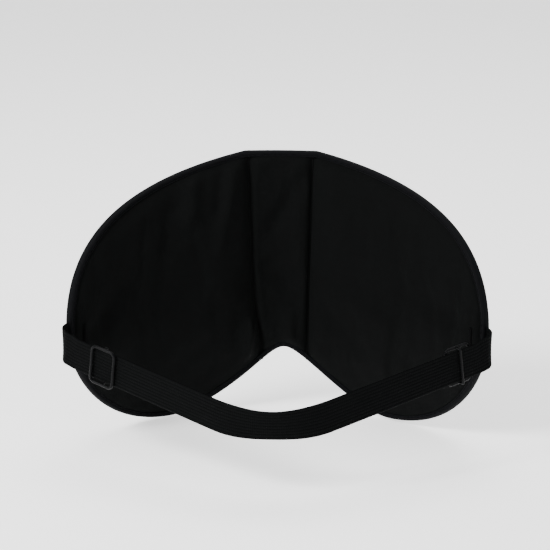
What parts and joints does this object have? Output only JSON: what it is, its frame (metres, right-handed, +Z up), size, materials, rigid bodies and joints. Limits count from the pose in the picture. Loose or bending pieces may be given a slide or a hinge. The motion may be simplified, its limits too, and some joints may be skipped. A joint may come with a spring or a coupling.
{
  "type": "eye pillow",
  "caption": "Contoured padded eye mask with side wings, a narrow centre panel, a nose notch, bound edges and a flat elastic strap with slides.",
  "frame": {"origin": "on the lining, in the middle of the centre panel, the face side of the pad", "axes": "+Z up the wearer's face, -Y towards the wearer's face and head, +X to the wearer's left as worn"},
  "size_m": [0.1934, 0.1165, 0.125],
  "materials": {
    "lining": "soft brushed cloth",
    "cover": "soft brushed cloth",
    "binding": "woven folded tape",
    "wadding": "soft fibre",
    "pouch_cloth": "thin plain weave",
    "beads": "fine glass beads",
    "foam": "soft foam",
    "thread": "spun thread",
    "elastic": "ribbed webbing",
    "slide": "satin black"
  },
  "bodies": {
    "mask": {"bead_fill_left": "beads", "bead_fill_right": "beads", "bead_pouch_left": "pouch_cloth", "bead_pouch_right": "pouch_cloth", "centre_core": "foam", "channel_seam_left": "lining", "channel_seam_right": "lining", "cover_centre": "cover", "cover_left": "cover", "cover_right": "cover", "edge_binding": "binding", "elastic_tail_left": "elastic", "elastic_tail_right": "elastic", "face_wadding_centre": "wadding", "face_wadding_left": "wadding", "face_wadding_right": "wadding", "front_wadding_centre": "wadding", "front_wadding_left": "wadding", "front_wadding_right": "wadding", "lining_centre": "lining", "lining_left": "lining", "lining_right": "lining", "strap_tack_left": "thread", "strap_tack_right": "thread"},
    "strap": {"strap_elastic": "elastic"},
    "slide_left": {"slide_left": "slide"},
    "slide_right": {"slide_right": "slide"}
  },
  "joints": [
    {"name": "strap_swing", "type": "hinge", "parent": "mask", "child": "strap", "pos_m": [0, -0.05905, -0.0036], "axis": [-1, 0, 0], "range_deg": [-50, 120], "stiffness_Nm_per_rad": 0.02, "springref_deg": 2.58},
    {"name": "slide_left_travel", "type": "slide", "parent": "strap", "child": "slide_left", "axis": [0.8387, -0.5165, -0.1728], "range_m": [-0.0045, 0.043]},
    {"name": "slide_right_travel", "type": "slide", "parent": "strap", "child": "slide_right", "axis": [-0.8387, -0.5165, -0.1728], "range_m": [-0.001, 0.05]}
  ]
}
